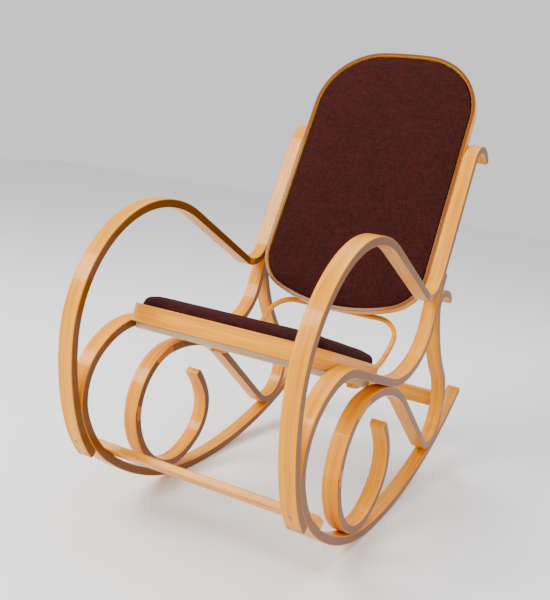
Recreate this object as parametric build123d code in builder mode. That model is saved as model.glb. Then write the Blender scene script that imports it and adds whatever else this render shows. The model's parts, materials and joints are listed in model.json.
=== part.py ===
from build123d import *

import os
from math import asin, atan2, copysign, cos, degrees, hypot, radians, sin, sqrt

# Rocking chair of bent laminated wood.  Two side frames, each of three bent strips (arm bow,
# rocker and scroll), carry a ring-framed seat and a ring-framed back between them.
#
# Millimetres.  X runs across the chair, the sitter faces -Y, Z is up.  The origin is on the
# floor under the middle of the chair.  The side view is drawn with the chair leaning back by
# rest_tilt; side_plane() tips it forward again to the angle at which the chair balances.
# A heading is the direction of travel along a strip in the side view: 0 is towards the rear,
# 90 is up.  Turns to the left are positive.

# ---------------------------------------------------------------- driving dimensions
overall_width = 530.0
strip_width = 36.0
strip_thickness = 19.0
strip_rounding = 2.5
nose_rounding = 6.0

rest_tilt = 14.45
middle_of_chair = 49.2

# Rocker strip: tail, runner, toe curl, seat run and rise to the upright.
rocker_tail = (657.0, 50.6)
tail_heading = 197.2
runner_radius, runner_turn = 1161.0, -32.9
sweep_radius, sweep_turn = 644.0, -34.4
toe_radius, toe_turn = 272.0, -32.5
knee_radius, knee_turn = 121.0, -70.9
brow_radius, brow_turn = 176.0, -58.0
seat_run = 233.0
dip_radius, dip_turn = 286.0, 40.3
rise_radius, rise_turn = 132.0, 49.6
ease_radius = 100.0
lap_length = 62.0

# Arm bow strip: foot wrapped on the toe, front bow, arm, elbow, upright and top hook.
foot_wrap = 20.0
shin_radius, shin_turn = 482.0, -21.6
bow_radius, bow_turn = 262.4, -86.8
arm_radius, arm_turn = 301.3, -29.3
arm_run = 297.7
elbow_radius, elbow_turn = 78.9, 90.3
upright_run = 318.0
hook_moves = [(56.0, -55.0), (92.0, -60.0)]

# Scroll strip, from the spot where it touches the dip of the rocker strip: forward part, then
# rear part.
scroll_contact_turn = 2.5
scroll_forward = [(351.0, 22.3), (130.2, 102.8), (194.6, 45.7), (133.1, 46.8), (201.5, 14.4)]
scroll_eye = [(88.7, 81.5), (261.4, 17.6)]
scroll_crest_radius, scroll_crest_turn = 351.0, -22.1
heel_radius, heel_turn = 83.5, 114.8
calf_radius, calf_turn = 125.0, 62.7
riser_radius = 463.5
scroll_hook_moves = [(30.0, -105.0), (100.0, -50.0)]

# Cross bars.
bar_thickness = 17.0
bar_height = 43.0
bar_rounding = 3.0
front_bar_turn = -1.8
rear_bar_turn = 13.3

# Seat: a bent ring with an upholstered board in it, on two battens.  Distances along the seat
# are measured rearwards from the start of the rocker strip's straight run.
seat_front, seat_rear = -135.0, 281.0
seat_front_corner, seat_rear_corner = 71.0, 60.0
seat_crown = 2500.0
seat_ring_height = 38.0
seat_ring_wall = 10.5
seat_board_thickness = 12.0
seat_pad_proud = 22.0
seat_pad_rounding = 16.0
seat_pad_gap = 0.5
batten_thickness = 13.0
batten_depth = 45.0
batten_fronts = (-60.0, 140.0)

# Back: a bent ring with a thin upholstered panel in it.  Distances along the back are measured
# upwards from the top of the upright's straight run.
back_low, back_high = -461.0, 294.0
back_low_corner, back_low_crown = 110.0, 450.0
back_high_corner, back_high_crown = 175.0, 1200.0
back_ring_depth = 28.0
back_ring_wall = 9.5
back_ring_proud = 3.0
back_recess = 1.0
back_foam_thickness = 12.0
back_board_thickness = 6.0
back_pad_rounding = 4.0
ring_rounding = 2.0
cover_thickness = 1.5

# Hoop under the small of the back.
hoop_section = 12.0
hoop_section_rounding = 3.5
hoop_half_width = 178.0
hoop_corner = 60.0
hoop_top = (341.0, 384.0)
hoop_slope = 27.0
hoop_dip_radius = 200.0
hoop_rise_radius = 150.0
hoop_lap = 30.0

# Screws, bolts and their sleeves.
screw_radius, screw_head_radius, screw_head_height = 2.5, 4.75, 3.0
bolt_radius, bolt_head_radius, bolt_head_height = 3.0, 6.0, 4.0
insert_radius, insert_length = 4.5, 20.0
bolt_reach = 16.0
hole_gap = 0.1

# ---------------------------------------------------------------- sizes that follow
half_width = overall_width / 2
inner_half_width = half_width - strip_width
half_strip = strip_thickness / 2
seat_slope = tail_heading + runner_turn + sweep_turn + toe_turn + knee_turn + brow_turn
upright_heading = (
    seat_slope - brow_turn - knee_turn + shin_turn + bow_turn + arm_turn + elbow_turn
)


# ---------------------------------------------------------------- side view geometry
def moved(place, distance, heading):
    """The place at a distance from another along a heading."""
    across, up = place
    return (
        across + distance * cos(radians(heading)),
        up + distance * sin(radians(heading)),
    )


def arc_centre(place, heading, radius, turn):
    """Centre of the arc that leaves a place on a heading."""
    return moved(place, radius, heading + copysign(90, turn))


def after(place, heading, moves):
    """Place and heading at the end of moves: (radius, turn) is an arc, (length, 0) is straight."""
    for size, turn in moves:
        if turn:
            centre = arc_centre(place, heading, size, turn)
            heading += turn
            place = moved(centre, -size, heading + copysign(90, turn))
        else:
            place = moved(place, size, heading)
    return place, heading


def left_of_line(place, line_place, line_heading):
    """How far a place lies to the left of a directed line."""
    across = place[0] - line_place[0]
    up = place[1] - line_place[1]
    return up * cos(radians(line_heading)) - across * sin(radians(line_heading))


def heading_to(place, other):
    """Heading from one place to another."""
    return degrees(atan2(other[1] - place[1], other[0] - place[0]))


def run_to_circle(place, heading, centre, radius):
    """Length of the straight run from a place inside a circle out to the circle."""
    along = left_of_line(place, centre, heading - 90)
    square = hypot(place[0] - centre[0], place[1] - centre[1]) ** 2
    return -along + sqrt(along**2 - square + radius**2)


# ---------------------------------------------------------------- planes
runner_centre = arc_centre(rocker_tail, tail_heading, runner_radius, runner_turn)
runner_height = runner_centre[0] * sin(radians(rest_tilt))
runner_height += runner_centre[1] * cos(radians(rest_tilt))
floor_lift = runner_radius + half_strip - runner_height


def chair_vector(heading):
    """Direction in the chair for a heading in the side view."""
    angle = radians(heading + rest_tilt)
    return Vector(0, cos(angle), sin(angle))


def chair_point(x, place):
    """Point in the chair for a place in the side view."""
    across = chair_vector(0) * place[0]
    up = chair_vector(90) * place[1]
    return Vector(x, -middle_of_chair, floor_lift) + across + up


def side_plane(x):
    """Plane of the side view at a distance x from the middle of the chair."""
    return Plane(origin=chair_point(x, (0, 0)), x_dir=chair_vector(0), z_dir=(1, 0, 0))


def cross_plane(place, heading):
    """Plane across the chair: its Y runs along the heading and its Z faces left of it."""
    return Plane(
        origin=chair_point(0, place), x_dir=(1, 0, 0), z_dir=chair_vector(heading + 90)
    )


def fixing_plane(x, place, outward):
    """Plane for a screw in the side view: its Z is the outward heading of the surface there."""
    return Plane(origin=chair_point(x, place), x_dir=(1, 0, 0), z_dir=chair_vector(outward))


# ---------------------------------------------------------------- chains of the three strips
sweep_start = after(rocker_tail, tail_heading, [(runner_radius, runner_turn)])
toe_start = after(*sweep_start, [(sweep_radius, sweep_turn)])
toe_centre = arc_centre(*toe_start, toe_radius, toe_turn)
toe_end_heading = toe_start[1] + toe_turn
seat_run_start = after(
    *toe_start, [(toe_radius, toe_turn), (knee_radius, knee_turn), (brow_radius, brow_turn)]
)

# The foot lies on the outside of the toe curl, so it shares the toe's centre.
foot_radius = toe_radius + strip_thickness
foot_heading = toe_end_heading + foot_wrap
foot_start = moved(toe_centre, foot_radius, foot_heading + 90)
arm_bow_moves = [
    (foot_radius, -foot_wrap),
    (shin_radius, shin_turn),
    (bow_radius, bow_turn),
    (arm_radius, arm_turn),
    (arm_run, 0),
    (elbow_radius, elbow_turn),
    (upright_run, 0),
]
upright_top, _ = after(foot_start, foot_heading, arm_bow_moves)
arm_bow_moves += hook_moves

# The rocker's end lies flat on the rear face of the upright: the straight run before the last
# easing arc is as long as that needs.
dip_moves = [(seat_run, 0), (dip_radius, dip_turn), (rise_radius, rise_turn)]
rise_end, rise_heading = after(*seat_run_start, dip_moves)
ease_turn = upright_heading - rise_heading
lap_line_place = moved(upright_top, strip_thickness, upright_heading - 90)
lap_gap = -left_of_line(rise_end, lap_line_place, upright_heading)
ease_gap = ease_radius * (1 - cos(radians(ease_turn)))
rise_run = (lap_gap - ease_gap) / sin(radians(-ease_turn))
rocker_moves = [
    (runner_radius, runner_turn),
    (sweep_radius, sweep_turn),
    (toe_radius, toe_turn),
    (knee_radius, knee_turn),
    (brow_radius, brow_turn),
    *dip_moves,
    (rise_run, 0),
    (ease_radius, ease_turn),
    (lap_length, 0),
]
rocker_end, _ = after(rocker_tail, tail_heading, rocker_moves)

# The scroll hangs under the seat run.  Its heel reaches the runner and its riser goes up until
# the hook at its end touches the rear of the rocker's rise.
contact_place, contact_heading = after(
    *seat_run_start, [(seat_run, 0), (dip_radius, scroll_contact_turn)]
)
scroll_touch = moved(contact_place, strip_thickness, contact_heading - 90)
scroll_front_moves = scroll_forward + scroll_eye
scroll_start, scroll_start_heading = after(
    scroll_touch, contact_heading + 180, scroll_front_moves
)
crest = after(scroll_touch, contact_heading, [(scroll_crest_radius, scroll_crest_turn)])
heel_centre_from = arc_centre(*crest, heel_radius, heel_turn)
heel_reach = runner_radius - strip_thickness - heel_radius
shank_run = run_to_circle(heel_centre_from, crest[1], runner_centre, heel_reach)
heel_centre = moved(heel_centre_from, shank_run, crest[1])
heel_start = (moved(crest[0], shank_run, crest[1]), crest[1])
calf_start = after(*heel_start, [(heel_radius, heel_turn)])
riser_start = after(*calf_start, [(calf_radius, calf_turn)])
riser_centre = arc_centre(*riser_start, riser_radius, -1)
hook_radius, _ = scroll_hook_moves[0]
hook_line_place = moved(rise_end, hook_radius + strip_thickness, rise_heading - 90)
hook_line_high = moved(hook_line_place, riser_radius / 2, rise_heading)
hook_line_drop = run_to_circle(
    hook_line_high, rise_heading + 180, riser_centre, riser_radius - hook_radius
)
hook_centre = moved(hook_line_high, hook_line_drop, rise_heading + 180)
riser_turn = heading_to(hook_centre, riser_centre) + 90 - riser_start[1]
scroll_moves = [(size, -turn) for size, turn in reversed(scroll_front_moves)]
scroll_moves += [
    (scroll_crest_radius, scroll_crest_turn),
    (shank_run, 0),
    (heel_radius, heel_turn),
    (calf_radius, calf_turn),
    (riser_radius, riser_turn),
    *scroll_hook_moves,
]


# ---------------------------------------------------------------- shapes used more than once
def strip_face(start, heading, moves, sideways):
    """Draws one face of a strip, sideways to the left of its centre line, and returns its ends."""
    place = Vector(*moved(start, sideways, heading + 90))
    first = place
    direction = Vector(cos(radians(heading)), sin(radians(heading)))
    for size, turn in moves:
        if turn:
            radius = size - copysign(sideways, sideways * turn)
            edge = JernArc(place, direction, radius=radius, arc_size=turn)
        else:
            edge = PolarLine(place, size, direction=direction)
        place = edge @ 1
        direction = edge % 1
    return first, place


def strip(x, start, heading, moves):
    """A strip bent along moves, with rounded ends and edges, whose inner face is at x."""
    with BuildPart() as bent:
        with BuildSketch(side_plane(x)) as outline:
            with BuildLine():
                outer_ends = strip_face(start, heading, moves, half_strip)
                inner_ends = strip_face(start, heading, moves, -half_strip)
                Line(outer_ends[0], inner_ends[0])
                Line(outer_ends[1], inner_ends[1])
            make_face()
            corners = [
                outline.vertices().sort_by_distance(corner)[0]
                for corner in (*outer_ends, *inner_ends)
            ]
            fillet(corners, radius=nose_rounding)
        extrude(amount=strip_width)
        fillet(bent.faces().filter_by(Axis.X).edges(), radius=strip_rounding)
    return bent.part


def ring_outline(low, high, low_corner, low_crown, high_corner, high_crown):
    """Face of a ring as wide as the chair inside, with crowned ends and round corners."""
    low_lean = degrees(asin((inner_half_width - low_corner) / (low_crown - low_corner)))
    high_lean = degrees(asin((inner_half_width - high_corner) / (high_crown - high_corner)))
    low_side = low + low_crown - (low_crown - low_corner) * cos(radians(low_lean))
    high_side = high - high_crown + (high_crown - high_corner) * cos(radians(high_lean))
    arcs = [
        (high_corner, 90 - high_lean),
        (high_crown, 2 * high_lean),
        (high_corner, 90 - high_lean),
        (high_side - low_side, 0),
        (low_corner, 90 - low_lean),
        (low_crown, 2 * low_lean),
        (low_corner, 90 - low_lean),
    ]
    with BuildLine() as loop:
        edge = Line((inner_half_width, low_side), (inner_half_width, high_side))
        for size, turn in arcs:
            if turn:
                edge = JernArc(edge @ 1, edge % 1, radius=size, arc_size=turn)
            else:
                edge = PolarLine(edge @ 1, size, direction=edge % 1)
    make_face(loop.edges())


def seat_outline():
    """Outer face of the seat ring."""
    ring_outline(
        seat_front, seat_rear, seat_front_corner, seat_crown, seat_rear_corner, seat_crown
    )


def back_outline():
    """Outer face of the back ring."""
    ring_outline(
        back_low, back_high, back_low_corner, back_low_crown, back_high_corner, back_high_crown
    )


def fitting(radius, height, hole, top_radius=None):
    """A round piece standing down from each current place, or the hole that clears it."""
    grow = hole_gap if hole else 0
    mode = Mode.SUBTRACT if hole else Mode.ADD
    hanging = (Align.CENTER, Align.CENTER, Align.MAX)
    if top_radius is None:
        Cylinder(radius=radius + grow, height=height + grow, align=hanging, mode=mode)
    else:
        Cone(radius + grow, top_radius + grow, height, align=hanging, mode=mode)


def screws(places, length, hole=False):
    """Countersunk screws pointing down from each place, with their heads level with it."""
    with Locations(*[place.location for place in places]):
        fitting(screw_radius, screw_head_height, hole, screw_head_radius)
        fitting(screw_radius, length, hole)


def bolts(places, length, hole=False):
    """Flat-headed bolts pointing down from each place, with their heads let in level with it."""
    with Locations(*[place.location for place in places]):
        fitting(bolt_head_radius, bolt_head_height, hole)
        fitting(bolt_radius, length, hole)


def inserts(places, hole=False):
    """Threaded sleeves sunk below each place, for the bolts that enter there."""
    with Locations(*[place.location for place in places]):
        fitting(insert_radius, insert_length, hole)


def save(piece, name):
    """Labels a finished piece and writes it to the parts folder."""
    piece.label = name
    export_step(piece, f"parts/{name}.step")


# ---------------------------------------------------------------- where the fixings go
strip_middle = inner_half_width + strip_width / 2
both_sides = (-1, 1)

# Foot screws: two side by side near the end of the foot, one above them.
foot_face_radius = foot_radius + half_strip
foot_screw_length = 32.0
foot_screw_spots = [(14.0, -9.5), (14.0, 9.5), (54.0, 0.0)]


def foot_screw_place(side, spot):
    """Place of a foot screw for a spot: distance up from the foot's end, distance across."""
    up, across = spot
    outward = foot_heading - degrees(up / foot_face_radius) + 90
    place = moved(toe_centre, foot_face_radius, outward)
    return fixing_plane(side * (strip_middle + across), place, outward)


foot_screw_places = [foot_screw_place(s, spot) for s in both_sides for spot in foot_screw_spots]

# Lap screws: from the rear of the rocker's end into the upright.
lap_screw_length = 33.0
lap_screw_spots = (18.0, 48.0)


def lap_screw_place(side, up):
    """Place of a lap screw at a distance from the rocker's end."""
    place = moved(rocker_end, -up, upright_heading)
    rear_face = moved(place, half_strip, upright_heading - 90)
    return fixing_plane(side * strip_middle, rear_face, upright_heading - 90)


lap_screw_places = [lap_screw_place(side, up) for side in both_sides for up in lap_screw_spots]

# Scroll screws: up through the runner at the belly and the heel, and up through the crest.
scroll_screw_length = 33.0
belly_moves = scroll_forward[:3]
belly_arc_start = after(scroll_touch, contact_heading + 180, belly_moves)
belly_centre = arc_centre(*belly_arc_start, *scroll_forward[3])
sweep_centre = arc_centre(*sweep_start, sweep_radius, sweep_turn)


def runner_screw_place(side, centre, radius, inner_centre):
    """Place under the runner where an arc of the scroll rests on one of its arcs."""
    outward = heading_to(centre, inner_centre)
    under = moved(centre, radius + half_strip, outward)
    return fixing_plane(side * strip_middle, under, outward)


runner_screw_places = [
    runner_screw_place(side, *arcs)
    for side in both_sides
    for arcs in (
        (sweep_centre, sweep_radius, belly_centre),
        (runner_centre, runner_radius, heel_centre),
    )
]
crest_face = moved(scroll_touch, half_strip, contact_heading - 90)
crest_screw_places = [
    fixing_plane(side * strip_middle, crest_face, contact_heading - 90) for side in both_sides
]

# Cross bars: the front one behind the toe, the rear one behind the calf.
toe_hollow = (bar_height / 2) ** 2 / (2 * (toe_radius - half_strip))
front_bar_place, front_bar_heading = after(*toe_start, [(toe_radius, front_bar_turn)])
front_bar_middle = moved(
    front_bar_place, half_strip + toe_hollow + bar_thickness / 2, front_bar_heading - 90
)
rear_bar_place, rear_bar_heading = after(*calf_start, [(calf_radius, rear_bar_turn)])
rear_bar_middle = moved(rear_bar_place, half_strip + bar_thickness / 2, rear_bar_heading - 90)
bar_screw_length = 32.0
bar_screw_spots = (-9.5, 9.5)


def bar_screw_places(place, heading):
    """Places of the screws through the front of a strip into the end of a bar."""
    face = moved(place, half_strip, heading + 90)
    return [
        fixing_plane(side * (strip_middle + across), face, heading + 90)
        for side in both_sides
        for across in bar_screw_spots
    ]


front_bar_screw_places = bar_screw_places(front_bar_place, front_bar_heading)
rear_bar_screw_places = bar_screw_places(rear_bar_place, rear_bar_heading)

# Seat and back bolts: from inside the rings into sleeves in the side frames.
seat_bolt_spots = (40.0, 190.0)
back_bolt_spots = (-280.0, -80.0)
seat_under_mark = moved(seat_run_start[0], half_strip, seat_slope - 90)
upright_face_mark = moved(upright_top, half_strip, upright_heading + 90)


def side_bolt_places(wall, mark, heading, spots):
    """Places on the inside of a ring's walls and on the side frames, for bolts and sleeves."""
    ring_places = []
    frame_places = []
    for side in both_sides:
        for along in spots:
            place = moved(mark, along, heading)
            for x, places in (
                (inner_half_width - wall, ring_places),
                (inner_half_width, frame_places),
            ):
                point = chair_point(side * x, place)
                places.append(Plane(origin=point, x_dir=(0, 1, 0), z_dir=(-side, 0, 0)))
    return ring_places, frame_places


seat_bolt_line = moved(seat_under_mark, half_strip, seat_slope + 90)
back_bolt_line = moved(upright_face_mark, half_strip, upright_heading - 90)
seat_bolt_places, seat_insert_places = side_bolt_places(
    seat_ring_wall, seat_bolt_line, seat_slope, seat_bolt_spots
)
back_bolt_places, back_insert_places = side_bolt_places(
    back_ring_wall, back_bolt_line, upright_heading, back_bolt_spots
)

# Battens: screwed up into the ring's walls and into the board.
batten_screw_length = 32.0
board_screw_length = batten_thickness + seat_board_thickness - 3.0
board_screw_across = 120.0
batten_under_mark = moved(seat_under_mark, batten_thickness, seat_slope - 90)


def batten_places(x_values):
    """Places under both battens, half way along their depth, at each x."""
    return [
        fixing_plane(
            x,
            moved(batten_under_mark, front + batten_depth / 2, seat_slope),
            seat_slope - 90,
        )
        for front in batten_fronts
        for x in x_values
    ]


ring_middle = inner_half_width - seat_ring_wall / 2
batten_screw_places = batten_places((-ring_middle, ring_middle))
board_screw_places = batten_places((-board_screw_across, board_screw_across))

# Hoop: its legs curve forward and end flat under the rear batten.
hoop_heading = 180 + hoop_slope
hoop_bend_start = moved(hoop_top, hoop_corner, hoop_heading)
hoop_level, _ = after(hoop_bend_start, hoop_heading, [(hoop_dip_radius, -hoop_slope)])
hoop_line_place = moved(batten_under_mark, hoop_section / 2, seat_slope - 90)
hoop_line_gap = left_of_line(hoop_level, hoop_line_place, seat_slope + 180)
hoop_rise_gap = hoop_rise_radius * (1 - cos(radians(seat_slope)))
hoop_level_run = -(hoop_line_gap + hoop_rise_gap) / sin(radians(-seat_slope))
hoop_leg_moves = [
    (hoop_dip_radius, -hoop_slope),
    (hoop_level_run, 0),
    (hoop_rise_radius, seat_slope),
    (hoop_lap, 0),
]
hoop_end, hoop_end_heading = after(hoop_bend_start, hoop_heading, hoop_leg_moves)
hoop_screw_length = hoop_section + batten_thickness - 2.0
hoop_screw_face = moved(
    moved(hoop_end, -hoop_lap / 2, hoop_end_heading), hoop_section / 2, hoop_end_heading + 90
)
hoop_screw_places = [
    fixing_plane(side * hoop_half_width, hoop_screw_face, hoop_end_heading + 90)
    for side in both_sides
]

os.makedirs("parts", exist_ok=True)

# ---------------------------------------------------------------- side frames
sides = (("left", -half_width), ("right", inner_half_width))

for side_name, strip_x in sides:
    with BuildPart() as arm_bow:
        add(strip(strip_x, foot_start, foot_heading, arm_bow_moves))
        screws(foot_screw_places, foot_screw_length, hole=True)
        screws(lap_screw_places, lap_screw_length, hole=True)
        inserts(back_insert_places, hole=True)
    save(arm_bow.part, f"{side_name}_arm_bow")

    with BuildPart() as rocker:
        add(strip(strip_x, rocker_tail, tail_heading, rocker_moves))
        screws(foot_screw_places, foot_screw_length, hole=True)
        screws(lap_screw_places, lap_screw_length, hole=True)
        screws(runner_screw_places, scroll_screw_length, hole=True)
        screws(crest_screw_places, scroll_screw_length, hole=True)
        screws(front_bar_screw_places, bar_screw_length, hole=True)
        inserts(seat_insert_places, hole=True)
    save(rocker.part, f"{side_name}_rocker")

    with BuildPart() as scroll:
        add(strip(strip_x, scroll_start, scroll_start_heading + 180, scroll_moves))
        screws(runner_screw_places, scroll_screw_length, hole=True)
        screws(crest_screw_places, scroll_screw_length, hole=True)
        screws(rear_bar_screw_places, bar_screw_length, hole=True)
    save(scroll.part, f"{side_name}_scroll")

# ---------------------------------------------------------------- cross bars
bars = (
    ("front_stretcher", front_bar_middle, front_bar_heading, front_bar_screw_places),
    ("rear_stretcher", rear_bar_middle, rear_bar_heading, rear_bar_screw_places),
)

for bar_name, bar_middle, bar_heading, bar_screws in bars:
    with BuildPart() as bar:
        with BuildSketch(side_plane(-half_width)):
            with Locations(Location((*bar_middle, 0), (0, 0, bar_heading))):
                RectangleRounded(bar_height, bar_thickness, bar_rounding)
        extrude(amount=overall_width)
        screws(bar_screws, bar_screw_length, hole=True)
    save(bar.part, bar_name)

# ---------------------------------------------------------------- seat
seat_plane = cross_plane(seat_under_mark, seat_slope)
seat_pad_height = seat_ring_height + seat_pad_proud

with BuildPart() as seat_ring:
    with BuildSketch(seat_plane):
        seat_outline()
        offset(amount=-seat_ring_wall, mode=Mode.SUBTRACT)
    extrude(amount=seat_ring_height)
    top_and_bottom = seat_ring.faces().filter_by(GeomType.PLANE).filter_by(seat_plane)
    fillet(top_and_bottom.edges(), radius=ring_rounding)
    bolts(seat_bolt_places, seat_ring_wall + bolt_reach, hole=True)
    screws(batten_screw_places, batten_screw_length, hole=True)
save(seat_ring.part, "seat_ring")

with BuildPart() as seat_board:
    with BuildSketch(seat_plane):
        seat_outline()
        inset = seat_ring_wall + seat_pad_gap + cover_thickness
        offset(amount=-inset, mode=Mode.REPLACE)
    extrude(amount=seat_board_thickness)
    screws(board_screw_places, board_screw_length, hole=True)
save(seat_board.part, "seat_board")


def seat_block(low, high, side_gap, edge_radius):
    """A block inside the seat ring from low to high above its underside, with a rounded top."""
    with BuildPart() as block:
        with BuildSketch(seat_plane.offset(low)):
            seat_outline()
            offset(amount=-seat_ring_wall - seat_pad_gap - side_gap, mode=Mode.REPLACE)
        extrude(amount=high - low)
        top = block.faces().filter_by(GeomType.PLANE).filter_by(seat_plane)
        fillet(top.sort_by(Axis.Z)[-1].edges(), radius=edge_radius)
    return block.part


with BuildPart() as seat_foam:
    foam_top = seat_pad_height - cover_thickness
    foam_rounding = seat_pad_rounding - cover_thickness
    add(seat_block(seat_board_thickness, foam_top, cover_thickness, foam_rounding))
save(seat_foam.part, "seat_foam")

with BuildPart() as seat_cover:
    add(seat_block(0, seat_pad_height, 0, seat_pad_rounding))
    add(seat_block(0, foam_top, cover_thickness, foam_rounding), mode=Mode.SUBTRACT)
save(seat_cover.part, "seat_cover")

for batten_name, batten_front in zip(("front_seat_batten", "rear_seat_batten"), batten_fronts):
    with BuildPart() as batten:
        with BuildSketch(cross_plane(batten_under_mark, seat_slope)):
            with Locations((0, batten_front + batten_depth / 2)):
                Rectangle(2 * inner_half_width, batten_depth)
        extrude(amount=batten_thickness)
        fillet(batten.edges().filter_by(Axis.X), radius=ring_rounding)
        screws(batten_screw_places, batten_screw_length, hole=True)
        screws(board_screw_places, board_screw_length, hole=True)
        screws(hoop_screw_places, hoop_screw_length, hole=True)
    save(batten.part, batten_name)

# ---------------------------------------------------------------- back
back_front = moved(upright_face_mark, back_ring_proud, upright_heading + 90)
back_plane = cross_plane(back_front, upright_heading)
back_foam_front = back_recess + cover_thickness
back_board_front = back_foam_front + back_foam_thickness
back_board_rear = back_board_front + back_board_thickness

with BuildPart() as back_ring:
    with BuildSketch(back_plane):
        back_outline()
        offset(amount=-back_ring_wall, mode=Mode.SUBTRACT)
    extrude(amount=-back_ring_depth)
    front_and_rear = back_ring.faces().filter_by(GeomType.PLANE).filter_by(back_plane)
    fillet(front_and_rear.edges(), radius=ring_rounding)
    bolts(back_bolt_places, back_ring_wall + bolt_reach, hole=True)
save(back_ring.part, "back_ring")


def back_block(front, rear, side_gap, edge_radius=0.0):
    """A block inside the back ring between two depths behind its front edge."""
    with BuildPart() as block:
        with BuildSketch(back_plane.offset(-rear)):
            back_outline()
            offset(amount=-back_ring_wall - side_gap, mode=Mode.REPLACE)
        extrude(amount=rear - front)
        if edge_radius:
            ends = block.faces().filter_by(GeomType.PLANE).filter_by(back_plane)
            forward = Axis(back_plane.origin, back_plane.z_dir)
            fillet(ends.sort_by(forward)[-1].edges(), radius=edge_radius)
    return block.part


with BuildPart() as back_board:
    add(back_block(back_board_front, back_board_rear, cover_thickness))
save(back_board.part, "back_board")

with BuildPart() as back_foam:
    foam_edge = back_pad_rounding - cover_thickness
    add(back_block(back_foam_front, back_board_front, cover_thickness, foam_edge))
save(back_foam.part, "back_foam")

with BuildPart() as back_cover:
    add(back_block(back_recess, back_board_rear, 0, back_pad_rounding))
    hollow = back_block(back_foam_front, back_board_rear, cover_thickness, foam_edge)
    add(hollow, mode=Mode.SUBTRACT)
save(back_cover.part, "back_cover")

with BuildPart() as back_lining:
    add(back_block(back_board_rear, back_board_rear + cover_thickness, 0))
save(back_lining.part, "back_lining")

# ---------------------------------------------------------------- hoop
hoop_plane = cross_plane(hoop_top, hoop_heading)

with BuildPart() as lumbar_hoop:
    with BuildLine(side_plane(hoop_half_width)) as near_leg:
        heading = hoop_heading
        place = hoop_bend_start
        for size, turn in hoop_leg_moves:
            direction = (cos(radians(heading)), sin(radians(heading)))
            if turn:
                JernArc(place, direction, radius=size, arc_size=turn)
            else:
                PolarLine(place, size, angle=heading)
            place, heading = after(place, heading, [(size, turn)])
    near_wire = near_leg.wires()[0]
    far_wire = near_wire.mirror(Plane.YZ)
    with BuildLine(hoop_plane) as bow:
        bow_half = hoop_half_width - hoop_corner
        JernArc((hoop_half_width, hoop_corner), (0, -1), radius=hoop_corner, arc_size=-90)
        Line((bow_half, 0), (-bow_half, 0))
        JernArc((-bow_half, 0), (-1, 0), radius=hoop_corner, arc_size=-90)
    path = Wire([*near_wire.edges(), *bow.edges(), *far_wire.edges()])
    near_end = chair_point(hoop_half_width, hoop_end)
    with BuildSketch(
        Plane(origin=near_end, x_dir=(1, 0, 0), z_dir=chair_vector(hoop_end_heading))
    ):
        RectangleRounded(hoop_section, hoop_section, hoop_section_rounding)
    sweep(path=path)
    screws(hoop_screw_places, hoop_screw_length, hole=True)
save(lumbar_hoop.part, "lumbar_hoop")

# ---------------------------------------------------------------- fixings
screw_sets = (
    ("foot_screws", foot_screw_places, foot_screw_length),
    ("lap_screws", lap_screw_places, lap_screw_length),
    ("runner_screws", runner_screw_places, scroll_screw_length),
    ("crest_screws", crest_screw_places, scroll_screw_length),
    ("front_stretcher_screws", front_bar_screw_places, bar_screw_length),
    ("rear_stretcher_screws", rear_bar_screw_places, bar_screw_length),
    ("batten_screws", batten_screw_places, batten_screw_length),
    ("seat_board_screws", board_screw_places, board_screw_length),
    ("hoop_screws", hoop_screw_places, hoop_screw_length),
)

for set_name, places, length in screw_sets:
    with BuildPart() as screw_set:
        screws(places, length)
    save(screw_set.part, set_name)

bolt_sets = (
    ("seat", seat_bolt_places, seat_insert_places, seat_ring_wall),
    ("back", back_bolt_places, back_insert_places, back_ring_wall),
)

for set_name, ring_places, frame_places, wall in bolt_sets:
    with BuildPart() as bolt_set:
        bolts(ring_places, wall + bolt_reach)
    save(bolt_set.part, f"{set_name}_bolts")

    with BuildPart() as insert_set:
        inserts(frame_places)
        bolts(ring_places, wall + bolt_reach, hole=True)
    save(insert_set.part, f"{set_name}_inserts")
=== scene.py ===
"""Looks of a bentwood rocking chair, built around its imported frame."""

from __future__ import annotations

import json
import logging
import math
from collections import Counter, defaultdict
from dataclasses import dataclass
from enum import Enum
from typing import ClassVar

import bpy
import numpy as np
from mathutils import Matrix, Vector

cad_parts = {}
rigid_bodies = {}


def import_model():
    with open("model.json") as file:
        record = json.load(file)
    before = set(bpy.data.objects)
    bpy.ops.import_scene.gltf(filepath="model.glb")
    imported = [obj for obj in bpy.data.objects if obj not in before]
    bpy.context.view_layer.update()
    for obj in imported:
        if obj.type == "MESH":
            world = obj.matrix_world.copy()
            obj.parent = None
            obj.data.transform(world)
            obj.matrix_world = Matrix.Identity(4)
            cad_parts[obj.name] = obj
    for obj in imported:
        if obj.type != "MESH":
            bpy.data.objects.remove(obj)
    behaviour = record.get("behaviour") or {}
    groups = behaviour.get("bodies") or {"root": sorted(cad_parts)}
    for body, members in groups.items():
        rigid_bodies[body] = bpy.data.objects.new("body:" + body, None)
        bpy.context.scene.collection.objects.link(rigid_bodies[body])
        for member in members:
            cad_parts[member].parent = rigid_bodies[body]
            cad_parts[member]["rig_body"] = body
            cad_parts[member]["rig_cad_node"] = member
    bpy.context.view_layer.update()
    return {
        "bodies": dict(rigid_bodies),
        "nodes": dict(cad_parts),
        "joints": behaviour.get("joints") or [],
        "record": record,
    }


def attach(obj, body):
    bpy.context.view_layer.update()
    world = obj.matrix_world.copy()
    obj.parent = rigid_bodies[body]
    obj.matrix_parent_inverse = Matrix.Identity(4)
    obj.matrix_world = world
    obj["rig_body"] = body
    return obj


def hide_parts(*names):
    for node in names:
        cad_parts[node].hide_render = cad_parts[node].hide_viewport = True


LOG = logging.getLogger("rocking_chair")
Colour = tuple[float, float, float]
Point = tuple[float, float, float]
Key = tuple[int, ...]

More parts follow.
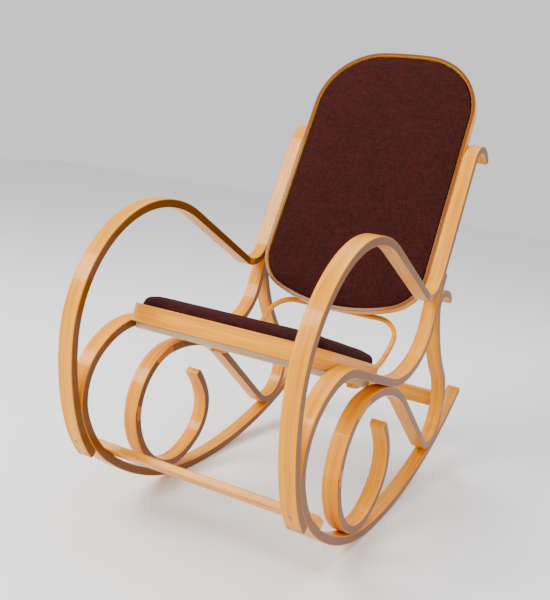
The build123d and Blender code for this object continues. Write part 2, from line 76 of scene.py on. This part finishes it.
# Directions in the chair as it stands at rest, true to a tenth of a degree.
ACROSS = Vector((1.0, 0.0, 0.0))
SEAT_UP = Vector((0.0, 0.293206, 0.956049))
BACK_FORWARD = Vector((0.0, -0.9018, 0.4321))


class Look(Enum):
    """Kinds of finish that the chair's nodes take."""

    STRIP = "strip"
    BAR = "bar"
    SEAT_RING = "seat_ring"
    BACK_RING = "back_ring"
    RAW_WOOD = "raw_wood"
    STEEL = "steel"
    BRASS = "brass"
    CLOTH = "cloth"


class Wire:
    """A shader socket that takes part in plain arithmetic."""

    def __init__(self, graph: Graph, socket: bpy.types.NodeSocket) -> None:
        self.graph = graph
        self.socket = socket

    def _maths(self, operation: str, *values: Wire | float) -> Wire:
        """Makes a maths node.

        Args:
            operation: name of the operation.
            values: its inputs, in order.

        Returns:
            The node's result.
        """
        inputs = dict(enumerate(values))
        return self.graph.node("ShaderNodeMath", inputs, operation=operation)

    def __add__(self, other: Wire | float) -> Wire:
        return self._maths("ADD", self, other)

    def __sub__(self, other: Wire | float) -> Wire:
        return self._maths("SUBTRACT", self, other)

    def __mul__(self, other: Wire | float) -> Wire:
        return self._maths("MULTIPLY", self, other)

    def __rsub__(self, other: float) -> Wire:
        return self._maths("SUBTRACT", other, self)

    __radd__ = __add__
    __rmul__ = __mul__

    def size(self) -> Wire:
        """The value without its sign."""
        return self._maths("ABSOLUTE", self)

    def sine(self) -> Wire:
        """The value's sine."""
        return self._maths("SINE", self)

    def step(self, low: float, high: float) -> Wire:
        """Goes smoothly from 0 at low to 1 at high."""
        inputs = {"Value": self, "From Min": low, "From Max": high}
        return self.graph.node("ShaderNodeMapRange", inputs, interpolation_type="SMOOTHSTEP")


class Graph:
    """The node tree of one material."""

    def __init__(self, name: str) -> None:
        self.material = bpy.data.materials.new(name)
        self.material.use_nodes = True
        self.tree = self.material.node_tree
        self.shader = self.tree.nodes["Principled BSDF"]

    def node(
        self, kind: str, inputs: dict[str | int, object], out: str | int = 0, **options: object
    ) -> Wire:
        """Makes any node.

        Args:
            kind: the node's type.
            inputs: a value or a wire for each input.
            out: the output to return.
            options: settings of the node.

        Returns:
            The chosen output.
        """
        made = self.tree.nodes.new(kind)
        for key, value in options.items():
            setattr(made, key, value)
        for key, value in inputs.items():
            self.feed(made.inputs[key], value)
        return Wire(self, made.outputs[out])

    def feed(self, socket: bpy.types.NodeSocket, value: object) -> None:
        """Links a wire to a socket, or sets a constant there."""
        if isinstance(value, Wire):
            self.tree.links.new(value.socket, socket)
        else:
            socket.default_value = value

    def along(self, place: Wire, direction: Vector) -> Wire:
        """Distance of a place along a direction."""
        inputs = {0: place, 1: tuple(direction)}
        return self.node("ShaderNodeVectorMath", inputs, "Value", operation="DOT_PRODUCT")

    def vector(self, *parts: Wire) -> Wire:
        """Joins three values."""
        return self.node("ShaderNodeCombineXYZ", dict(enumerate(parts)))

    def noise(self, place: Wire, scale: float, detail: float) -> Wire:
        """Soft noise from 0 to 1."""
        inputs = {"Vector": place, "Scale": scale, "Detail": detail, "Roughness": 0.6}
        return self.node("ShaderNodeTexNoise", inputs, "Fac")

    def blend(self, factor: Wire, low: object, high: object) -> Wire:
        """Mixes two colours, which are constants or wires."""
        ends = [c if isinstance(c, Wire) else (*c, 1.0) for c in (low, high)]
        inputs = {0: factor, 6: ends[0], 7: ends[1]}
        return self.node("ShaderNodeMix", inputs, 2, data_type="RGBA")

    def finish(self, colour: Wire, roughness: Wire, height: Wire, depth: float) -> None:
        """Feeds the shader.

        Args:
            colour: the base colour.
            roughness: the roughness.
            height: the height of the relief, from 0 to 1.
            depth: the relief's depth in metres.
        """
        self.feed(self.shader.inputs["Base Color"], colour)
        self.feed(self.shader.inputs["Roughness"], roughness)
        bump = self.node("ShaderNodeBump", {"Height": height, "Distance": depth, "Strength": 0.6})
        self.feed(self.shader.inputs["Normal"], bump)

    def constant(self, **values: float) -> None:
        """Sets the shader's inputs that don't vary, named with underscores."""
        for name, value in values.items():
            self.shader.inputs[name.replace("_", " ")].default_value = value


@dataclass(frozen=True)
class Grain:
    """Noise that is drawn out along the wood.

    Attributes:
        fine: how quickly it changes across the grain, per metre.
        long: how quickly it changes along the grain, per metre.
        detail: how many finer steps it holds.
    """

    fine: float
    long: float
    detail: float

    def draw(self, graph: Graph, over: Wire, along: tuple[Wire, Wire]) -> Wire:
        """Makes the noise.

        Args:
            graph: the material's tree.
            over: distance across the grain.
            along: the two distances at right angles to it.

        Returns:
            The noise, from 0 to 1.
        """
        place = graph.vector(over * self.fine, along[0] * self.long, along[1] * self.long)
        return graph.noise(place, 1.0, self.detail)


FIBRES = Grain(fine=420.0, long=9.0, detail=5.0)
BANDS = Grain(fine=70.0, long=2.5, detail=3.0)
PORES = Grain(fine=900.0, long=60.0, detail=2.0)


@dataclass(frozen=True)
class Wood:
    """Wood whose grain runs at right angles to one direction.

    Attributes:
        across: direction over which the grain's streaks change.
        edge: direction that the cut edges of the layers face, or None.
        light: colour between the streaks.
        dark: colour of the streaks.
        edge_colour: colour of the cut edges.
        lacquer: weight of the clear coat.
    """

    across: Vector
    edge: Vector | None
    light: Colour
    dark: Colour
    edge_colour: Colour
    lacquer: float

    def material(self, name: str) -> bpy.types.Material:
        """Makes the wood.

        Args:
            name: the material's name.

        Returns:
            The material.
        """
        graph = Graph(name)
        second = self.across.orthogonal().normalized()
        third = self.across.cross(second)
        place = graph.node("ShaderNodeTexCoord", {}, "Object")
        over = graph.along(place, self.across)
        other = (graph.along(place, second), graph.along(place, third))
        streak = FIBRES.draw(graph, over, other)
        figure = BANDS.draw(graph, over, other)
        pore = PORES.draw(graph, over, other)
        tone = (streak * 0.55 + figure * 0.75).step(0.38, 0.92)
        colour = graph.blend(tone, self.dark, self.light)
        colour = graph.blend(pore.step(0.62, 0.8) * 0.35, colour, self.dark)
        if self.edge is not None:
            colour = self._with_edges(graph, colour, over, other)
        graph.finish(colour, 0.3 + 0.18 * streak, streak * 0.7 + pore * 0.3, 0.00012)
        graph.constant(Coat_Weight=self.lacquer, Coat_Roughness=0.09, Specular_IOR_Level=0.1)
        return graph.material

    def _with_edges(self, graph: Graph, colour: Wire, over: Wire, other: tuple) -> Wire:
        """Darkens the cut edges, with the glue lines where a node has the layers' mark.

        Args:
            graph: the material's tree.
            colour: colour of the broad faces.
            over: distance across the grain.
            other: the two distances at right angles to it.

        Returns:
            The colour of the whole surface.
        """
        normal = graph.node("ShaderNodeTexCoord", {}, "Normal")
        facing = graph.along(normal, self.edge).size()
        depth = graph.node("ShaderNodeAttribute", {}, "Fac", attribute_name=Layers.mark_name)
        glue = (depth * (Layers.count * math.pi)).sine().size().step(0.1, 0.55)
        mottle = graph.noise(graph.vector(over * 30.0, *other), 55.0, 4.0)
        shade = graph.blend(mottle.step(0.3, 0.7) * 0.4, self.dark, self.edge_colour)
        shade = graph.blend(glue, self.edge_colour, shade)
        return graph.blend(facing.step(0.55, 0.85), colour, shade)


@dataclass(frozen=True)
class Metal:
    """Turned metal of the fixings.

    Attributes:
        bright: colour of the clean metal.
        dull: colour of the stained metal.
    """

    bright: Colour
    dull: Colour

    def material(self, name: str) -> bpy.types.Material:
        """Makes the metal.

        Args:
            name: the material's name.

        Returns:
            The material.
        """
        graph = Graph(name)
        place = graph.node("ShaderNodeTexCoord", {}, "Object")
        stain = graph.noise(place, 260.0, 4.0)
        scratches = graph.noise(place, 2400.0, 2.0)
        colour = graph.blend(stain.step(0.35, 0.7), self.bright, self.dull)
        graph.finish(colour, 0.28 + 0.3 * stain, scratches, 0.00003)
        graph.constant(Metallic=1.0)
        return graph.material


@dataclass(frozen=True)
class Cloth:
    """Heather upholstery cloth in a plain weave.

    Attributes:
        up: direction out of the cushion's face.
        light: colour of the light threads.
        dark: colour of the dark threads.
        pitch: distance from thread to thread in metres.
        slub: how quickly a thread's tone changes across it, per metre.
        yarn: how quickly a thread's tone changes along it, per metre.
    """

    up: Vector
    light: Colour
    dark: Colour
    pitch: float = 0.0016
    slub: float = 700.0
    yarn: float = 60.0

    def material(self, name: str) -> bpy.types.Material:
        """Makes the cloth.

        Args:
            name: the material's name.

        Returns:
            The material.
        """
        graph = Graph(name)
        place = graph.node("ShaderNodeTexCoord", {}, "Object")
        run = graph.along(place, self.up.cross(ACROSS))
        side = graph.along(place, ACROSS)
        rise = graph.along(place, self.up)
        turn = 2.0 * math.pi / self.pitch
        weave = (run * turn).sine() * ((side + rise) * turn).sine()
        up_threads = graph.vector(side * self.slub, run * self.yarn, rise * self.slub)
        cross_threads = graph.vector(side * self.yarn, run * self.slub, rise * self.yarn)
        warp = graph.noise(up_threads, 1.0, 2.0)
        weft = graph.noise(cross_threads, 1.0, 2.0)
        wear = graph.noise(place, 14.0, 3.0)
        heather = (warp * 0.5 + weft * 0.5 + weave * 0.05 + wear * 0.12 - 0.06).step(0.34, 0.68)
        colour = graph.blend(heather, self.dark, self.light)
        graph.finish(colour, 0.82 + 0.12 * wear, 0.5 + 0.5 * weave + 0.3 * warp, 0.0004)
        graph.constant(Specular_IOR_Level=0.12)
        return graph.material


LACQUER = 0.22
GOLD, HONEY, BROWN = (0.86, 0.345, 0.004), (0.56, 0.175, 0.001), (0.15, 0.043, 0.001)
RAW, RAW_STREAK = (0.72, 0.55, 0.36), (0.52, 0.36, 0.21)
BURGUNDY, DARK_THREAD = (0.050, 0.006, 0.004), (0.011, 0.0015, 0.001)

FINISHES = {
    Look.STRIP: Wood(ACROSS, ACROSS, GOLD, HONEY, BROWN, LACQUER),
    Look.BAR: Wood(SEAT_UP, None, GOLD, HONEY, BROWN, LACQUER),
    Look.SEAT_RING: Wood(SEAT_UP, SEAT_UP, GOLD, HONEY, BROWN, LACQUER),
    Look.BACK_RING: Wood(BACK_FORWARD, BACK_FORWARD, GOLD, HONEY, BROWN, LACQUER),
    Look.RAW_WOOD: Wood(SEAT_UP, None, RAW, RAW_STREAK, RAW_STREAK, 0.0),
    Look.STEEL: Metal((0.30, 0.27, 0.24), (0.12, 0.10, 0.09)),
    Look.BRASS: Metal((0.80, 0.60, 0.28), (0.50, 0.34, 0.14)),
    Look.CLOTH: Cloth(BACK_FORWARD, BURGUNDY, DARK_THREAD),
}


def only(piece: bpy.types.Object) -> None:
    """Selects one object and makes it the active one."""
    bpy.ops.object.select_all(action="DESELECT")
    piece.select_set(True)
    bpy.context.view_layer.objects.active = piece


def paint(piece: bpy.types.Object, material: bpy.types.Material) -> None:
    """Gives an object one material in place of those it has."""
    piece.data.materials.clear()
    piece.data.materials.append(material)


@dataclass(frozen=True)
class Layers:
    """Marks how deep the border points of a strip's cut edges lie between its broad faces.

    Attributes:
        mark_name: name of the mark, which is 0 at one broad face and 1 at the other.
        count: number of glued layers that the mark is shown as.
        reach: how far on both sides of a point the border is compared, in metres.
        grid: steps per metre that points are told apart by.
        sideways: how squarely a face looks sideways to count as a cut edge.
        shortest: length in metres under which a border is a screw's hole.
        spacing: distance in metres between the places tried for a fold.
        apart: least distance in metres between the two folds.
    """

    mark_name: ClassVar[str] = "layer_depth"
    count: ClassVar[int] = 5
    reach: float = 0.03
    grid: float = 1e5
    sideways: float = 0.95
    shortest: float = 0.5
    spacing: float = 0.002
    apart: float = 0.2

    def mark(self, node: bpy.types.Object) -> None:
        """Writes the mark on a strip's mesh."""
        mesh = node.data
        keys = [tuple(round(part * self.grid) for part in v.co) for v in mesh.vertices]
        links = self._border(mesh, keys)
        deep: set[Key] = set()
        while links:
            deep |= self._deep_side(self._walk(links))
        mark = mesh.attributes.new(self.mark_name, "FLOAT", "POINT")
        mark.data.foreach_set("value", [float(key in deep) for key in keys])

    def _border(self, mesh: bpy.types.Mesh, keys: list[Key]) -> dict[Key, list[Key]]:
        """Finds the neighbours of each point on the borders of the sideways faces."""
        uses: Counter = Counter()
        for face in mesh.polygons:
            if abs(face.normal.x) > self.sideways:
                uses.update(frozenset((keys[a], keys[b])) for a, b in face.edge_keys)
        links = defaultdict(list)
        for edge, times in uses.items():
            if times == 1 and len(edge) == 2:
                first, second = edge
                links[first].append(second)
                links[second].append(first)
        return links

    @staticmethod
    def _walk(links: dict[Key, list[Key]]) -> list[Key]:
        """Takes one closed border out of the links, as points in order."""
        here = next(iter(links))
        loop = []
        while here is not None:
            loop.append(here)
            here = next((key for key in links.pop(here) if key in links), None)
        return loop

    def _deep_side(self, loop: list[Key]) -> set[Key]:
        """Splits a long thin border at its two folds.

        Args:
            loop: the border's points in order.

        Returns:
            The points on one side of the folds.
        """
        points = np.array([*loop, loop[0]]) / self.grid
        steps = np.linalg.norm(np.diff(points, axis=0), axis=1)
        runs = np.concatenate(([0.0], np.cumsum(steps)))
        length = runs[-1]
        if length < self.shortest:
            return set()
        spots = np.arange(0.0, length, self.spacing)
        ends = [
            np.stack([np.interp((spots + d) % length, runs, part) for part in points.T])
            for d in (-self.reach, self.reach)
        ]
        gaps = np.linalg.norm(ends[0] - ends[1], axis=0)
        first = spots[np.argmin(gaps)]
        away = np.abs((spots - first + length / 2) % length - length / 2)
        second = spots[np.argmin(np.where(away > self.apart, gaps, np.inf))]
        inside = (runs[:-1] - first) % length < (second - first) % length
        return {key for key, deep in zip(loop, inside) if deep}


@dataclass(frozen=True)
class Woodwork:
    """The chair's nodes, shown as they are in the frame unless a cushion stands for them.

    Attributes:
        nodes: the frame's nodes by name.
        smooth_below: degrees between two faces under which they shade as one.
    """

    nodes: dict[str, bpy.types.Object]
    smooth_below: float = 35.0

    @staticmethod
    def look(name: str) -> Look:
        """Chooses the finish of a node.

        Args:
            name: the node's name.

        Returns:
            The kind of finish.
        """
        rules = (
            ("insert", Look.BRASS),
            ("screw", Look.STEEL),
            ("bolt", Look.STEEL),
            ("batten", Look.RAW_WOOD),
            ("board", Look.RAW_WOOD),
            ("foam", Look.CLOTH),
            ("cover", Look.CLOTH),
            ("lining", Look.CLOTH),
            ("stretcher", Look.BAR),
            ("hoop", Look.BAR),
            ("seat_ring", Look.SEAT_RING),
            ("back_ring", Look.BACK_RING),
        )
        return next((look for part, look in rules if part in name), Look.STRIP)

    def build(self) -> None:
        """Smooths and paints every node."""
        materials = {look: finish.material(look.value) for look, finish in FINISHES.items()}
        for name, node in self.nodes.items():
            only(node)
            bpy.ops.object.shade_smooth_by_angle(angle=math.radians(self.smooth_below))
            look = self.look(name)
            paint(node, materials[look])
            if look is Look.STRIP:
                Layers().mark(node)


@dataclass(frozen=True)
class Cushion:
    """An upholstered cushion, filled out by a short cloth simulation.

    Attributes:
        name: the new piece's name.
        foam: the frame's node that it starts from.
        hidden: nodes that it stands for.
        up: direction out of its face.
        held: share of its depth, from below, that its wooden ring holds still.
        swell: the furthest that its skin moves, in metres.
        grain: side of one face of its mesh, in metres.
        fill: how full it is, from 0 to 1; not used.
        skin: how far its cloth lies outside its foam, in metres.
        pressure: pressure of the air that fills it out.
        last_frame: frame at which the filling stops.
    """

    name: str
    foam: bpy.types.Object
    hidden: tuple[str, ...]
    up: Vector
    held: float
    swell: float
    grain: float
    fill: float
    skin: float = 0.0014
    pressure: float = 4.0
    last_frame: int = 20

    def build(self) -> bpy.types.Object:
        """Makes the cushion.

        Returns:
            The finished piece.
        """
        only(self.foam)
        bpy.ops.object.duplicate()
        piece = bpy.context.view_layer.objects.active
        piece.name = self.name
        piece.data.name = self.name
        piece.parent = None
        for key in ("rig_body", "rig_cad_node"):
            del piece[key]
        self._apply(piece, "REMESH", mode="VOXEL", voxel_size=self.grain)
        self._apply(piece, "SMOOTH", factor=0.5, iterations=4)
        self._apply(piece, "DISPLACE", strength=self.skin, mid_level=0.0)
        self._inflate(piece)
        self._apply(piece, "SUBSURF", levels=1, render_levels=1)
        bpy.ops.object.shade_smooth()
        paint(piece, Cloth(self.up, BURGUNDY, DARK_THREAD).material(f"{self.name}_cloth"))
        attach(piece, "root")
        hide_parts(*self.hidden)
        return piece

    @staticmethod
    def _apply(piece: bpy.types.Object, kind: str, **options: object) -> None:
        """Adds a modifier and applies it at once."""
        only(piece)
        modifier = piece.modifiers.new(kind.title(), kind)
        for key, value in options.items():
            setattr(modifier, key, value)
        bpy.ops.object.modifier_apply(modifier=modifier.name)

    def _inflate(self, piece: bpy.types.Object) -> None:
        """Fills the skin with air for a few frames and keeps its moves small."""
        start = [vertex.co.copy() for vertex in piece.data.vertices]
        heights = [place.dot(self.up) for place in start]
        limit = min(heights) + self.held * (max(heights) - min(heights))
        held = piece.vertex_groups.new(name="held")
        held.add([i for i, height in enumerate(heights) if height < limit], 1.0, "REPLACE")
        modifier = piece.modifiers.new("Cloth", "CLOTH")
        settings = modifier.settings
        settings.vertex_group_mass = held.name
        settings.use_pressure = True
        settings.uniform_pressure_force = self.pressure
        settings.effector_weights.gravity = 0.0
        settings.quality = 6
        modifier.point_cache.frame_start = 1
        modifier.point_cache.frame_end = self.last_frame
        for frame in range(1, self.last_frame + 1):
            bpy.context.scene.frame_set(frame)
        only(piece)
        bpy.ops.object.modifier_apply(modifier=modifier.name)
        bpy.context.scene.frame_set(1)
        for vertex, place in zip(piece.data.vertices, start):
            move = vertex.co - place
            if move.length > self.swell:
                vertex.co = place + move * (self.swell / move.length)


@dataclass(frozen=True)
class Lamp:
    """A square lamp that faces the chair's middle.

    Attributes:
        name: its name.
        place: where it hangs.
        size: its side in metres.
        power: its power in watts.
    """

    name: str
    place: Point
    size: float
    power: float
    chair_middle: ClassVar[Point] = (0.0, 0.0, 0.5)

    def build(self) -> None:
        """Makes the lamp."""
        bpy.ops.object.light_add(type="AREA", location=self.place)
        lamp = bpy.context.view_layer.objects.active
        lamp.name = self.name
        lamp.data.size = self.size
        lamp.data.energy = self.power
        facing = Vector(self.chair_middle) - Vector(self.place)
        lamp.rotation_euler = facing.to_track_quat("-Z", "Y").to_euler()


LAMPS = (
    Lamp("key", (-2.0, -2.6, 2.9), 1.8, 230.0),
    Lamp("fill", (2.8, -1.6, 1.6), 2.6, 30.0),
    Lamp("top", (0.2, 0.8, 3.4), 3.0, 75.0),
)


@dataclass(frozen=True)
class Studio:
    """Pale floor, soft lights and the camera.

    Attributes:
        target: point that the camera looks at.
        distance: from the camera to the target, in metres.
        azimuth: degrees that the camera stands to the right of the front.
        elevation: degrees that it looks down.
        roll: degrees that its right side tips up.
        lens: focal length in millimetres.
        shift: share of the picture that its middle lies below the target, taken negative.
        sky: strength of the white light from all round.
        floor_size: side of the floor in metres.
    """

    target: Vector = Vector((0.0, -0.2036, 0.5688))
    distance: float = 1.785
    azimuth: float = 26.54
    elevation: float = 9.71
    roll: float = 6.93
    lens: float = 49.09
    shift: float = -0.05
    sky: float = 0.95
    floor_size: float = 16.0

    def build(self) -> None:
        """Makes the floor, the lights and the camera."""
        self._floor()
        for lamp in LAMPS:
            lamp.build()
        world = bpy.context.scene.world or bpy.data.worlds.new("World")
        bpy.context.scene.world = world
        world.use_nodes = True
        background = world.node_tree.nodes["Background"]
        background.inputs["Color"].default_value = (1.0, 1.0, 1.0, 1.0)
        background.inputs["Strength"].default_value = self.sky
        self._camera()

    def _floor(self) -> None:
        """A wide pale floor."""
        bpy.ops.object.select_all(action="DESELECT")
        bpy.ops.mesh.primitive_plane_add(size=self.floor_size)
        floor = bpy.context.view_layer.objects.active
        floor.name = "floor"
        graph = Graph("floor")
        graph.constant(Roughness=0.9, Specular_IOR_Level=0.1)
        graph.shader.inputs["Base Color"].default_value = (0.9, 0.9, 0.9, 1.0)
        paint(floor, graph.material)

    def _camera(self) -> None:
        """Makes the camera, and tips it as the chair is tipped from its balanced pose."""
        bpy.ops.object.camera_add()
        camera = bpy.context.view_layer.objects.active
        turn = Matrix.Rotation(math.radians(self.azimuth), 4, "Z")
        tip = Matrix.Rotation(math.radians(90.0 - self.elevation), 4, "X")
        roll = Matrix.Rotation(math.radians(self.roll), 4, "Z")
        facing = turn @ tip
        place = self.target + facing.to_3x3() @ Vector((0.0, 0.0, self.distance))
        camera.matrix_world = Matrix.Translation(place) @ facing @ roll
        camera.data.lens = self.lens
        camera.data.sensor_width = 36.0
        camera.data.shift_y = self.shift
        camera.data.dof.use_dof = False
        bpy.context.scene.camera = camera


def main() -> None:
    """Builds the chair's looks and the studio."""
    logging.basicConfig(level=logging.INFO)
    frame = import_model()
    nodes = frame["nodes"]
    LOG.info("%d nodes in the frame", len(nodes))
    Woodwork(nodes).build()
    cushions = (
        Cushion(
            name="seat_cushion",
            foam=nodes["seat_foam"],
            hidden=("seat_foam", "seat_cover"),
            up=SEAT_UP,
            held=0.35,
            swell=0.004,
            grain=0.006,
            fill=0.9,
        ),
        Cushion(
            name="back_cushion",
            foam=nodes["back_foam"],
            hidden=("back_foam", "back_cover"),
            up=BACK_FORWARD,
            held=0.8,
            swell=0.002,
            grain=0.006,
            fill=1.0,
        ),
    )
    for cushion in cushions:
        LOG.info("made %s", cushion.build().name)
    Studio().build()


if __name__ == "__main__":
    main()
